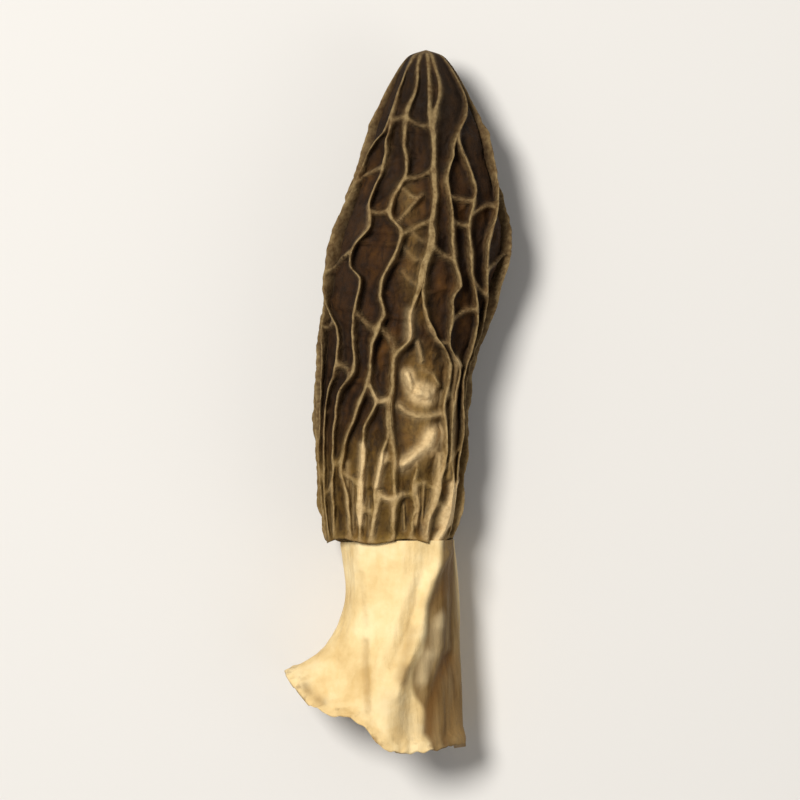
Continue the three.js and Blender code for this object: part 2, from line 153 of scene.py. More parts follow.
# Hollow, which runs from the cut end of the stem up into the cap
CAP_HOLLOW_RADIUS = [
    (0, 3.9), (0.2, 4.4), (0.4, 4.7), (0.55, 5.2), (0.66, 4.7), (0.77, 3.4), (0.86, 1.6),
]
CAP_HOLLOW_X = [(0, -0.3), (0.2, -0.5), (0.4, 0), (0.55, 1.5), (0.66, 2.3), (0.86, 2.8)]
HOLLOW_DEPTH_SHARE = 0.9
HOLLOW_MOUTH, HOLLOW_TOP = 0.004, 0.86
HOLLOW_END = 0.6

# Stem: share of the way from its top to its cut edge, then how far it reaches from the axis
STEM_TOP = -0.2
STEM_FIRST_ANGLE = -90
STEM_LEFT = [(0, 5.7), (0.31, 5.2), (0.56, 5.6), (0.75, 6.9), (0.88, 9), (1, 11.1)]
STEM_RIGHT = [(0, 5.6), (0.3, 5.9), (1, 6)]
STEM_ABOVE = [(0, 5.4), (0.35, 5.2), (0.7, 5.5), (1, 6.3)]
STEM_BELOW = [(0, 5.3), (0.35, 5.1), (0.6, 5.5), (0.8, 6.4), (1, 7.5)]

# Cut edge of the stem: angle in degrees from straight up towards +X, then y in mm
CUT_EDGE = [
    (-90, -12.8), (-80, -12.95), (-62, -14.3), (-48, -16.2), (-26, -17.2), (-16, -18.2),
    (-9, -19.7), (0, -20.3), (27, -20.5), (80, -20), (130, -19.2), (180, -17.6), (230, -15),
    (256, -13.1), (270, -12.8),
]

# The fold down the stem's front, the sunken face beside it, its ripples and its wall
FOLD_ANGLE = [(0, 44), (0.6, 7), (1, -13)]
FOLD_HEIGHT = 0.35
FOLD_HALF_ANGLE = 8
FACE_END_ANGLE = 86
FACE_DEPTH = [(0, 0.15), (0.4, 0.6), (1, 0.95)]
STEM_RIPPLE = 0.16
STEM_RIPPLES = 7
RIPPLE_TWIST = 4
FOLD_SHARE_INSIDE = 0.5
STEM_WALL = [(0, 1.35), (0.7, 1.25), (0.93, 0.9), (1, 0.7)]

# From here on, what only the finished mushroom has. Mesh of the cap: rows, then a gap's columns,
# at steps in mm from its crests and evenly between them
CAP_ROWS = 232
TIP_CROWDING = 1.12
HOLLOW_ROWS = 16
CREST_STEPS = [0, 0.09, 0.18, 0.28, 0.4, 0.6]
CLOSE_GAP = 2.2
MIDDLE_COLUMNS = 5
FOLDED_GAPS = (4, 6, 7)
FOLDED_COLUMNS = 13

# How pits sink: straight down on the upper side, and never through to the axis
FINE_DEPTH = 1.2
SINK_STRAIGHT = 0.88
STRAIGHT_WITHIN = 0.5
DEEPEST_SHARE = 0.9

# How ribs stray, lean, thicken and are nicked: (waves along the cap, amount) layers, then a seed
RIB_DRIFT = [(7, 0.5), (16, 0.34), (38, 0.17)], 40
CREST_REACH_CHANGE = [(11, 0.5), (30, 0.4)], 80
RIB_LEAN = [(3, 0.7), (11, 0.35)], 120
CREST_NICKS = [(9, 0.3), (24, 0.2), (55, 0.1)], 160
RIB_SEED_STEP = 7.3

# Profile of a crest in mm, its line of dust and painted highlight, and the painted shadow at its
# foot
CREST_REACH = 0.3
CREST_SHARPNESS = 3.2
CREST_LINE = 0.44
FOOT_DISTANCE, FOOT_REACH = 0.72, 0.34
SUNKEN_RIB = 7
SUNKEN_OVER = (0.13, 0.19)

# Profile of a link in mm, and how it sags and bows between its ribs
LINK_REACH = 0.37
LINK_SHARPNESS = 3
LINK_SAG = 0.35
LINK_BOW = 0.025
BOW_SEED, BOW_SEED_STEP = 200, 17

# Low links inside the pits, at even steps with a little chance in them; open gaps have none
LOW_LINKS = 12
LOW_LINK_FIRST = 0.05
LOW_LINK_STEP = 0.083
LOW_LINK_SLANT = 0.07
LOW_LINK_LEAST, LOW_LINK_SPREAD = 0.2, 0.4
LOW_LINK_SEED, LOW_LINK_SEED_STEP = 100, 13
SLANT_SEED, HEIGHT_SEED = 0.3, 0.7
OPEN_GAPS = (6, 7)
OPEN_FROM, OPEN_TO = 0.15, 0.4

# Margin of the cap: a lip that closes the pits and rolls in over the stem
LIP_REACH = 0.85
LIP_FILL = 0.9
LIP_ROLL = 0.25
ROLLED_SHARE = 0.93
ROLLED_HEIGHT = 0.45

# Relief of the skin: (grain in mm, amount) layers, then a seed
SKIN_SWELL = [(5, 0.3)], 1
SKIN_GRAIN = [(0.9, 0.1), (0.4, 0.07)], 2
PIT_CREASES = [(2.2, 0.5), (0.9, 0.3)], 3
CREASE_TOP, CREASE_SLOPE = 0.5, 2
SEED_SHIFT = (17.3, 5.1)
LAYER_SHIFT = 9.7
CHANCE_WAVE, CHANCE_SCALE = 12.9898, 43758.5453

# The side of the cap that gets no painted shade, in radians from straight up; its flanks are
# painted darker
LIT_SIDE = 0.25

# Folds seen from above: how softly they merge; for each its half width in mm, its height as a
# share of the pit's depth, its paleness and its line (x, y)
FOLD_BLEND = 0.3
CAP_FOLDS = [
    (2.1, 0.62, 0.06, [(2.4, 16.6), (2.4, 9.2)]),
    (0.55, 0.9, 1.4, [(0.9, 16.6), (1.3, 15.2)]),
    (0.9, 0.98, 1.9, [(2.1, 14.8), (2.8, 14.6)]),
    (0.34, 0.85, 0.2, [(2.3, 17.1), (3.4, 16.6), (4, 15.5)]),
    (0.42, 0.88, 0.5, [(0.1, 13.5), (0.8, 12.9), (1.8, 12.5), (3.2, 12.5), (4, 12.7)]),
    (0.85, 0.92, 1.4, [(3.5, 10.8), (3, 9.8)]),
    (0.6, 0.88, 1.1, [(2.6, 9.5), (1.4, 8.5), (0.5, 7.8)]),
    (0.4, 0.95, 0.5, [(4.1, 8.7), (3.9, 6.3), (3.5, 4.3), (3, 2.7), (2.7, 0.7)]),
    (0.62, 0.88, 0.12, [(5.8, 17.6), (5.5, 14.7), (5.35, 11.3), (5.1, 6.5)]),
    (0.28, 0.9, 0.35, [(1.7, 5.7), (2, 3.7), (1.7, 1.7)]),
    (0.3, 0.95, 0.55, [(-2, 5), (-1, 4.3), (0.3, 4.8)]),
    (0.24, 0.85, 0.3, [(-0.7, 4), (-0.5, 2.3)]),
    (0.22, 0.6, 0.25, [(-5, 8), (-4.9, 1.2)]),
    (0.2, 0.5, 0.2, [(-4.5, 6.4), (-4.4, 0.9)]),
    (0.2, 0.55, 0.2, [(-2.9, 4.3), (-2.9, 0.9)]),
    (0.2, 0.5, 0.15, [(-6.7, 7), (-6.5, 1)]),
    (0.22, 0.6, 0.2, [(0.5, 3.8), (0.6, 1)]),
    (0.22, 0.6, 0.2, [(2.5, 6), (2.3, 1.3)]),
    (0.3, 0.95, 0.4, [(-1.8, 5), (-2.3, 2.4), (-2.7, 0.4)]),
    (0.32, 1.02, 1.3, [(-3.55, 9.7), (-3.65, 6), (-3.75, 2)]),
    (0.34, 1.02, 1.3, [(-1.5, 8.7), (-1.85, 7), (-2.1, 5.7)]),
    (0.45, 1.05, 1.5, [(5.5, 5.7), (5.3, 4), (5, 2.4), (4.5, 1.2), (3.9, 0.4)]),
    (0.75, 1.05, 1.5, [(5.1, 3.3), (4.8, 1.9)]),
    (0.24, 0.9, 0.2, [(2.7, 23), (3, 21), (4, 19.7), (4.7, 19.7)]),
    (0.34, 0.85, 0.4, [(1.9, 19.7), (2.3, 17.9)]),
    (0.48, 1, 0.6, [(1.2, 22.7), (1.1, 20.3)]),
    (0.4, 1.1, 0.4, [(5.7, 18.2), (6.1, 17.5)]),
    (0.34, 1, 0.4, [(-2.4, 14.6), (-2, 13.9), (-1.2, 14)]),
    (1.1, 0.55, 0.06, [(0.6, 34.6), (1, 32.6)]),
    (1.15, 0.42, 0.03, [(1.5, 30), (1.7, 27.8), (1.4, 25.4)]),
    (0.4, 0.55, 0.12, [(0.5, 29), (1.4, 27.9), (2.4, 27.6)]),
    (0.38, 0.57, 0.12, [(0.4, 26.6), (1.2, 25.6), (1.9, 25.4)]),
    (0.36, 0.52, 0.1, [(1.2, 30.6), (2.4, 29.6)]),
    (0.35, 0.8, 0.2, [(0, 31.6), (1.2, 33), (2.3, 34.2)]),
    (0.3, 0.75, 0.15, [(0.2, 35), (1.5, 33.9)]),
    (0.3, 0.85, 0.25, [(1.1, 34.1), (1.6, 33.9)]),
]

# Where the cap is golden: low down, and on the floors of its open pits, each with its reach
# in mm, its strength and a line of points
GOLDEN_OVER = (0.13, 0.27)
GOLDEN_FLOORS = [
    (2.5, 1, [(2.4, 16.6), (2.4, 9.2)]),
    (1.1, 0.55, [(0.6, 34.6), (1, 32.6)]),
    (1.3, 0.5, [(1.5, 30), (1.7, 27.8), (1.4, 25.4), (2.2, 22.5)]),
]

# Fine form of the stem: its mesh, its relief with (grain in mm, amount) layers and a seed, its rim
STEM_SIDES = 288
STEM_ROWS = 110
STEM_INTO_CAP = 0.025
STEM_HOLLOW_ROWS = 50
STEM_CRUMPLES = [(3.5, 0.6), (1.2, 0.14)], 5
CRUMPLE_STRETCH = 3
CRUMPLES_AT_TOP = 0.4
STEM_FIBRES = [(0.45, 0.045)], 6
FIBRE_STRETCH = 6
SHARE_INSIDE = 0.8
RIM_SHARE = 0.9
RIM_CURL = 0.55
RIM_CURL_LEAST = 0.6
RIM_RAGGED = [(2.2, 0.7), (0.7, 0.3)], 7

# Folds of the stem that show from above: half width and height in mm, darkness (painted shade, with
# some dirt and darker tone; below zero for a pale one, partly a painted highlight), then a line;
# and the angle where the painted shade of its sunken side begins at each share
STEM_FOLDS = [
    (0.5, 0.4, 0, [(4.7, -1), (3, -3.7), (2.5, -6), (2.3, -8.7), (1.7, -10.3), (0.5, -12.7),
                   (-0.3, -15)]),
    (0.6, 0.25, -0.3, [(1.3, -3.7), (0, -7), (-1.3, -10.3), (-2.3, -13)]),
    (0.4, -0.2, 0.12, [(2, -5.7), (0.7, -9), (-0.7, -12)]),
    (0.5, 0.1, -0.4, [(4.2, -5.6), (3.9, -8)]),
    (0.65, 0.1, -0.3, [(3.9, -7.4), (3.4, -10.8)]),
    (0.7, 0.2, -0.5, [(2.7, -11), (2.3, -13.3)]),
    (0.6, -0.35, 1.0, [(4.8, -11.3), (3.8, -13.7), (3.2, -16), (3, -18.5)]),
    (0.5, -0.1, 0.3, [(1.5, -8.5), (0.7, -11), (0, -13)]),
    (1, -0.2, 0.6, [(5.6, -2.4), (4.6, -4.4), (3.5, -6)]),
    (0.9, -0.1, 0.4, [(5.5, -11.5), (5.3, -14.5), (4.8, -18.5)]),
    (0.5, -0.2, 0.6, [(0.9, -12.3), (0.5, -13.6)]),
    (0.35, -0.3, 0.35, [(-3.3, -9.7), (-3.2, -13), (-3, -16.3)]),
    (1.6, 0, 0.28, [(-0.3, -15.8), (0.7, -17.6)]),
    (0.35, 0, 0.6, [(-9, -14), (-8.7, -14.6)]),
    (0.4, 0, 0.5, [(-7.9, -15.2), (-7.3, -15.6)]),
    (0.4, -0.2, 0.12, [(-3.8, -3), (-3.3, -8)]),
]
# Where the painted shade of the stem's sunken face begins, and how softly
SHADE_EDGE = [(0, 44), (0.3, 27), (0.5, 21), (0.62, 9), (0.72, 12), (0.82, 27), (1, 30)]
SHADE_EDGE_WIDTH = 9
SHADE_ENDS_OVER = (82, 110)

# Colours of the cap as screen colours: pits to crests high up and low down, then what lies on them
# The pits are dark partly in the cap's own colour and partly as painted shade in the hollows
UPPER_COLORS = [(0, "271709"), (0.35, "3f270f"), (0.7, "503718"), (0.94, "5e4727"), (1, "85704a")]
LOWER_COLORS = [(0, "564019"), (0.35, "6c5223"), (0.7, "7c612d"), (0.94, "876c39"), (1, "9f8353")]
# Rust, then the painted shadow at the ribs' feet and the painted shade in the pits' creases
RUSTY, PAINTED_FOOT_SHADOW, PAINTED_CREASE_SHADE = "6b4618", "150c05", "1c1107"
# Dust with a painted highlight for the crests, pale folds, and the painted shade of the flanks and
# tip
DUST_AND_HIGHLIGHT, PALE_SKIN, PAINTED_SHADE_BROWN = "ab9469", "d9be8e", "20160b"
MOTTLE_COLORS = [(0.3, "dcd6ce"), (0.5, "f2efec"), (0.7, "ffffff")]

# Looks of the cap: grains and depths in mm, and how strong each layer of colour is
BLOTCH_GRAIN, PATCH_GRAIN, WRINKLE_GRAIN, DUST_GRAIN, FOLDED_GRAIN = 1.6, 4, 0.7, 0.45, 0.8
FOLDED_DEPTH, DUST_DEPTH = 0.2, 0.05
WRINKLE_SQUEEZE = (1, 0.35, 1)
BLOTCH_CONTRAST = 0.22
RUST_STRENGTH = 0.4
# Strength of the painted shadow at the ribs' feet, high up and low down
FOOT_STRENGTH_HIGH, FOOT_STRENGTH_LOW = 0.95, 0.4
# Strength of the painted shade in the pits' creases
CREASE_STRENGTH = 0.6
# How much dust and painted highlight the crests get
DUST_HIGHLIGHT_LEAST, DUST_HIGHLIGHT_MOST = 0.2, 0.6
# Painted shade on the flanks and painted shadow at the tip, less of both on the crests
FLANK_PAINTED_SHADE, TIP_PAINTED_SHADOW, CREST_PAINTED_SHADE = 0.5, 0.7, 0.35
CAP_ROUGHNESS, CAP_GLOSS = (0.72, 0.95), 0.2

# Colours of the stem
CREAM_COLORS = [(0.3, "d3b47a"), (0.5, "e6cb94"), (0.68, "efd9a8")]
# Streaks, the sunken face's painted shade with some darker tone, the tanned end, then pale folds
STREAK, PAINTED_FACE_SHADE, TANNED, PALE_FOLD_AND_HIGHLIGHT = "d2ab66", "624820", "b8935a", "ecd6a8"
# Dark folds: painted shade with some dirt and darker tone; then dirt specks and the inside
PAINTED_FOLD_SHADE_AND_DIRT, SPECK, INSIDE = "634218", "6a4a28", "997f5e"

# Looks of the stem, in the same way
CREAM_GRAIN, STREAK_GRAIN, FIBRE_GRAIN, SPECK_GRAIN, CRUMPLED_GRAIN = 3.5, 1.3, 0.35, 1.7, 0.9
CRUMPLED_DEPTH, FIBRE_DEPTH = 0.12, 0.06
FIBRE_SQUEEZE = (1, 0.14, 1)
STREAK_STRENGTH = 0.35
TAN_STRENGTH = 0.3
# Pale folds partly a painted highlight, dark folds partly painted shade
PALE_FOLD_HIGHLIGHT_STRENGTH, FOLD_SHADE_AND_DIRT_STRENGTH = 0.6, 0.85
SPECK_STRENGTH, INSIDE_STRENGTH = 0.8, 0.85
STEM_ROUGHNESS, STEM_GLOSS = (0.6, 0.85), 0.25

# Stage, lights and camera, in metres and watts; the lens and its sensor in mm
FLOOR_SIZE = 3
FLOOR_COLOR, FLOOR_ROUGHNESS = (0.68, 0.67, 0.655, 1), 0.9
WORLD_COLOR, WORLD_STRENGTH = (1, 0.98, 0.95, 1), 0.25
LIGHTS = [
    ("key", (-0.17, 0.12, 0.52), 0.16, 3.4, (1, 0.97, 0.92)),
    ("fill", (0.4, -0.2, 0.35), 0.4, 0.4, (1, 0.98, 0.95)),
]
LENS, SENSOR_WIDTH = 280, 36
VIEW_SIZE = 0.079
VIEWED_HEIGHT = 0.008
NEAREST_SEEN = 0.01


def curve_through(stations):
    """A smooth curve through (place, value) stations, level beyond its ends."""
    places, values = np.array(stations, float).T
    slopes = np.gradient(values)
    slopes[1:-1] = (values[2:] - values[:-2]) / (places[2:] - places[:-2])
    slopes[0] = (values[1] - values[0]) / (places[1] - places[0])
    slopes[-1] = (values[-1] - values[-2]) / (places[-1] - places[-2])

    def at(place):
        place = np.clip(place, places[0], places[-1])
        k = np.clip(np.searchsorted(places, place) - 1, 0, len(places) - 2)
        span = places[k + 1] - places[k]
        u = (place - places[k]) / span
        a, b = values[k], values[k + 1]
        start, end = slopes[k] * span, slopes[k + 1] * span
        square = 3 * (b - a) - 2 * start - end
        cube = 2 * (a - b) + start + end
        return a + u * (start + u * (square + u * cube))

    return at


def chance(seed):
    """The same number from 0 to 1 for the same seed each time."""
    wave = math.sin(seed * CHANCE_WAVE) * CHANCE_SCALE
    return wave - math.floor(wave)


def smooth_step(value, low, high):
    """From 0 at the low value to 1 at the high one, with soft ends."""
    share = np.clip((value - low) / (high - low), 0, 1)
    return share * share * (3 - 2 * share)


def bell(distance, reach):
    """From 1 at no distance down to 0 far away."""
    return np.exp(-((distance / reach) ** 2))


def layered(points, relief, creased=False):
    """Noise at each point: the sum of layers, each of a grain in mm and an amount."""
    layers, seed = relief
    total = np.zeros(points.shape[:-1])
    for number, (grain, amount) in enumerate(layers):
        shift = Vector((SEED_SHIFT[0] * seed, SEED_SHIFT[1] * seed, LAYER_SHIFT * number))
        flat = points.reshape(-1, 3) / grain
        values = np.array([noise.noise(Vector(point) + shift) for point in flat])
        if creased:
            values = CREASE_TOP - CREASE_SLOPE * np.abs(values)
        total += amount * values.reshape(total.shape)
    return total


cap_half_width = curve_through(CAP_HALF_WIDTH)
cap_middle_x = curve_through(CAP_MIDDLE_X)
cap_half_depth_below = curve_through(CAP_HALF_DEPTH_BELOW)
pit_depth = curve_through(PIT_DEPTH)


def hidden_rib(number):
    """The path of a rib of the underside: an even step round the cap, with its own wander."""
    share = (number + 1) / (HIDDEN_RIBS + 1)
    before = curve_through(SEEN_RIBS[-1][0])
    after = curve_through(SEEN_RIBS[0][0])
    phase = 2 * math.pi * chance(number + 1)
    slowest, quickest = WANDER_TURNS
    turns = slowest + (quickest - slowest) * chance(number + HIDDEN_RIBS)

    def path(t):
        even = before(t) * (1 - share) + (after(t) + 360) * share
        way = 2 * math.pi * turns * t
        slow = np.sin(way + phase)
        quick = np.sin(QUICK_WANDER_TURNS * way + 2 * phase)
        return even + RIB_WANDER * (slow + QUICK_WANDER_SHARE * quick)

    joins = 1 if number % HIDDEN_FORK_EVERY == 1 else 0
    return path, joins, HIDDEN_FORK_HEIGHT


RIBS = [(curve_through(path), joins, above) for path, joins, above in SEEN_RIBS]
RIBS += [hidden_rib(number) for number in range(HIDDEN_RIBS)]


def joined_share(t, above):
    """How far a rib has come together with the one that it joins, from 0 to 1."""
    start, end = JOINS_OVER
    return smooth_step(t, above + start, above + end)


def rib_angles(t):
    """Angles of all ribs at each height, kept in order, with the first again a turn later."""
    free = np.stack([path(t) for path, _, _ in RIBS], axis=1)
    angles = free.copy()
    for number, (_, joins, above) in enumerate(RIBS):
        if joins:
            neighbour = free[:, number + joins] - joins * LEAST_GAP
            angles[:, number] += joined_share(t, above) * (neighbour - angles[:, number])
    for number in range(1, len(RIBS)):
        angles[:, number] = np.maximum(angles[:, number], angles[:, number - 1] + LEAST_GAP)
    return np.concatenate([angles, angles[:, :1] + 360], axis=1)


def hidden_links(gap):
    """Full-height walls across a gap of the underside."""
    links = []
    for number in range(HIDDEN_LINKS):
        seed = 2 * (gap * HIDDEN_LINKS + number)
        step = number + HIDDEN_LINK_CHANCE * chance(seed)
        start = HIDDEN_LINK_FIRST + HIDDEN_LINK_STEP * step
        slant = HIDDEN_LINK_SLANT * (chance(seed + 1) - 0.5)
        links.append((start, start + slant, 1))
    return links


def low_links(gap):
    """Low walls inside the pits of a gap."""
    links = []
    for number in range(LOW_LINKS):
        seed = LOW_LINK_SEED + LOW_LINK_SEED_STEP * gap + number
        start = LOW_LINK_FIRST + LOW_LINK_STEP * (number + chance(seed))
        slant = LOW_LINK_SLANT * (chance(seed + SLANT_SEED) - 0.5)
        height = LOW_LINK_LEAST + LOW_LINK_SPREAD * chance(seed + HEIGHT_SEED)
        is_open = gap in OPEN_GAPS and OPEN_FROM < start < OPEN_TO
        if not is_open:
            links.append((start, start + slant, height))
    return links


def links_of_gap(gap):
    """Walls across one gap: where they start and end, and how high they stand."""
    if gap < len(SEEN_RIBS) - 1:
        links = [(start, end, 1) for at, start, end in SEEN_LINKS if at == gap]
    else:
        links = hidden_links(gap)
    return links + low_links(gap)


def line_distance(x, y, line):
    """How far each point is, seen from above, from a line of straight stretches."""
    nearest = np.full(np.shape(x), np.inf)
    for (start_x, start_y), (end_x, end_y) in zip(line, line[1:]):
        run_x, run_y = end_x - start_x, end_y - start_y
        share = ((x - start_x) * run_x + (y - start_y) * run_y) / (run_x**2 + run_y**2)
        share = np.clip(share, 0, 1)
        away = np.hypot(x - start_x - share * run_x, y - start_y - share * run_y)
        nearest = np.minimum(nearest, away)
    return nearest


def shares_across(gap_length, middle_columns):
    """Shares across a gap in every row: close together at its two crests, even between them."""
    near = np.outer(np.minimum(1, gap_length / CLOSE_GAP) / gap_length, CREST_STEPS)
    last = near[:, -1:]
    even = last + (1 - 2 * last) * np.arange(1, middle_columns + 1) / (middle_columns + 1)
    return np.concatenate([near, even, 1 - near[:, :0:-1]], axis=1)


class CapSkin:
    """The outside of the cap on a grid whose columns follow the ribs."""

    def __init__(self):
        steps = np.arange(CAP_ROWS) / CAP_ROWS
        self.t = (1 - (1 - steps) ** TIP_CROWDING)[:, None]
        self.width = np.maximum(cap_half_width(self.t), LEAST_HALF_WIDTH)
        self.fade = np.minimum(1, UNEVEN_FADE_AT_TIP * (1 - self.t))
        self.place_columns()
        self.stray()
        self.shape_crests()
        self.shape_links()
        self.shape_folds()
        self.place_points()

    def at_both_ribs(self, values):
        """Values of each column's left and right rib; a rib takes those of the rib it joins."""
        for rib, (_, joins, above) in reversed(list(enumerate(RIBS))):
            if joins:
                together = joined_share(self.t[:, 0], above)
                values[:, rib] += together * (values[:, rib + joins] - values[:, rib])
        values = np.concatenate([values, values[:, :1]], axis=1)
        return values[:, self.gap], values[:, self.gap + 1]

    def along_ribs(self, changes):
        """Noise along the length, of its own for each rib."""
        layers, seed = changes
        total = np.zeros((CAP_ROWS, len(RIBS)))
        for waves, amount in layers:
            for rib in range(len(RIBS)):
                start = RIB_SEED_STEP * rib + seed
                spots = [Vector((waves * t, start, waves)) for t in self.t[:, 0]]
                total[:, rib] += amount * np.array([noise.noise(spot) for spot in spots])
        return self.at_both_ribs(total)

    def place_columns(self):
        """Columns between the ribs: the gap of each, its share across and its two ribs' angles."""
        angles = rib_angles(self.t[:, 0])
        self.lengths = np.radians(np.diff(angles, axis=1)) * self.width
        columns = []
        for gap, lengths in enumerate(self.lengths.T):
            middle = FOLDED_COLUMNS if gap in FOLDED_GAPS else MIDDLE_COLUMNS
            columns.append(shares_across(lengths, middle))
        self.across = np.concatenate(columns, axis=1)
        self.gap = np.repeat(np.arange(len(RIBS)), [part.shape[1] for part in columns])
        self.left, self.right = angles[:, self.gap], angles[:, self.gap + 1]
        self.gap_length = self.lengths[:, self.gap]
        self.room = np.minimum(1, self.gap_length / FULL_DEPTH_GAP)
        self.depth = FINE_DEPTH * pit_depth(self.t) * self.room

    def freedom(self):
        """How far each rib may stray: less beside a narrow gap, unless it is joined there."""
        room = np.minimum(1, self.lengths / FULL_DEPTH_GAP)
        for rib, (_, joins, above) in enumerate(RIBS):
            together = joined_share(self.t[:, 0], above)
            for gap in range(min(rib, rib + joins), max(rib, rib + joins)):
                room[:, gap] += together * (1 - room[:, gap])
        return np.minimum(room, np.roll(room, 1, axis=1))

    def stray(self):
        """Move the ribs, and what is between them, a little to and fro."""
        self.free_left, self.free_right = self.at_both_ribs(self.freedom())
        drift_left, drift_right = self.along_ribs(RIB_DRIFT)
        drift = (1 - self.across) * drift_left * self.free_left
        drift = drift + self.across * drift_right * self.free_right
        self.shift = np.degrees(drift * self.fade / self.width)

    def standing(self, rib):
        """How much of each rib stands: one of them sinks into a basin on its way up."""
        return np.where(rib == SUNKEN_RIB, 1 - smooth_step(self.t, *SUNKEN_OVER), 1)

    def shape_crests(self):
        """How high the ribs stand at each point, where their lines are, and the painted shadow at
        their feet.
        """
        change_left, change_right = self.along_ribs(CREST_REACH_CHANGE)
        from_left = self.across * self.gap_length / (1 + change_left)
        from_right = (1 - self.across) * self.gap_length / (1 + change_right)
        stands_left, stands_right = self.standing(self.gap), self.standing(self.gap + 1)
        left = stands_left / (1 + (from_left / CREST_REACH) ** CREST_SHARPNESS)
        right = stands_right / (1 + (from_right / CREST_REACH) ** CREST_SHARPNESS)
        self.wall = left + right - left * right
        line_left, line_right = bell(from_left, CREST_LINE), bell(from_right, CREST_LINE)
        self.crest = np.maximum(left * line_left, right * line_right)
        # Painted shadow in the pits beside each rib's foot
        foot_left = stands_left * bell(from_left - FOOT_DISTANCE, FOOT_REACH)
        foot_right = stands_right * bell(from_right - FOOT_DISTANCE, FOOT_REACH)
        self.foot_painted_shadow = np.maximum(foot_left, foot_right) * self.room
        both = self.wall / (left + right)
        self.vary_crests(left * both, right * both)

    def vary_crests(self, left, right):
        """Lean the ribs and make their crests uneven, by how near each point is to its two ribs."""
        lean_left, lean_right = self.along_ribs(RIB_LEAN)
        lean = lean_left * left * self.free_left + lean_right * right * self.free_right
        self.shift = self.shift + np.degrees(lean * self.fade / self.width)
        nick_left, nick_right = self.along_ribs(CREST_NICKS)
        nicks = nick_left * left * self.free_left + nick_right * right * self.free_right
        swell = np.sin(UNEVEN_ALONG * self.t + UNEVEN_PER_RIB * np.arange(len(RIBS)))
        swell_left, swell_right = self.at_both_ribs(swell)
        uneven = CREST_UNEVEN * (swell_left * left + swell_right * right)
        self.rise = (uneven + nicks) * self.fade

    def link_ridge(self, columns, link, seed):
        """How far each point of a gap is from a link, and how high the link stands there."""
        start, end, height = link
        across = self.across[:, columns]
        bow = LINK_BOW * (chance(seed) - 0.5)
        middle = start + (end - start) * across + bow * np.sin(math.pi * across)
        slope = (end - start) * CAP_LENGTH / self.gap_length[:, columns]
        away = np.abs(self.t - middle) * CAP_LENGTH / np.sqrt(1 + slope**2)
        sag = 1 - LINK_SAG * np.sin(math.pi * across)
        return away, height * sag / (1 + (away / LINK_REACH) ** LINK_SHARPNESS)

    def shape_links(self):
        """Walls across the gaps, and the lip that closes the pits at the margin."""
        lip = LIP_FILL * bell(self.t * CAP_LENGTH, LIP_REACH)
        fill = np.broadcast_to(lip, self.depth.shape).copy()
        self.link = np.zeros_like(self.depth)
        for gap in range(len(RIBS)):
            columns = np.flatnonzero(self.gap == gap)
            for number, link in enumerate(links_of_gap(gap)):
                seed = BOW_SEED + BOW_SEED_STEP * gap + number
                away, ridge = self.link_ridge(columns, link, seed)
                fill[:, columns] = np.maximum(fill[:, columns], ridge)
                if link[-1] == 1:
                    line = bell(away, LINK_REACH)
                    self.link[:, columns] = np.maximum(self.link[:, columns], line)
        self.height = self.wall + (1 - self.wall) * fill

    def shape_folds(self):
        """Raise the folds in the pits, and mark where the skin is golden or pale."""
        turn = self.turns()
        outer_x = cap_middle_x(self.t) + cap_half_width(self.t) * np.sin(turn)
        y = np.broadcast_to(CAP_LENGTH * self.t, outer_x.shape)
        upper = np.cos(turn) > 0
        self.golden = np.broadcast_to(1 - smooth_step(self.t, *GOLDEN_OVER), outer_x.shape)
        for reach, strength, line in GOLDEN_FLOORS:
            floor = strength * upper * bell(line_distance(outer_x, y, line), reach)
            self.golden = np.maximum(self.golden, floor)
        self.pale = np.zeros_like(outer_x)
        for half_width, level, paleness, line in CAP_FOLDS:
            sunk = self.depth * max(1 - level, 0)
            x = outer_x - sunk * np.sin(self.sink_direction(turn))
            near = upper * bell(line_distance(x, y, line), half_width)
            dome = level * near
            blend = np.maximum(0, 1 - np.abs(self.height - dome) / FOLD_BLEND)
            self.height = np.maximum(self.height, dome) + FOLD_BLEND / 4 * blend**2
            self.pale = np.maximum(self.pale, np.minimum(1, paleness * near))

    def turns(self):
        """The angle of every point round the axis, in radians from -pi to pi."""
        turn = np.radians(self.left + (self.right - self.left) * self.across + self.shift)
        return np.arctan2(np.sin(turn), np.cos(turn))

    def sink_direction(self, turn):
        """Pits go in towards the axis below, and nearly straight down on the upper side."""
        return turn * (1 - SINK_STRAIGHT * smooth_step(np.cos(turn), 0, STRAIGHT_WITHIN))

    def sunk_depth(self, spot):
        """How deep each point lies under the even outline, with its wrinkles and creases."""
        sunk = self.depth * (1 - self.height) - self.rise
        sunk = sunk + LIP_ROLL * bell(self.t * CAP_LENGTH, LIP_REACH)
        wrinkles = layered(spot, SKIN_SWELL) + layered(spot, SKIN_GRAIN)
        creases = layered(spot, PIT_CREASES, creased=True) * (1 - self.height) * self.room
        sunk = sunk + (wrinkles - creases) * self.fade
        return np.minimum(sunk, DEEPEST_SHARE * cap_half_width(self.t))

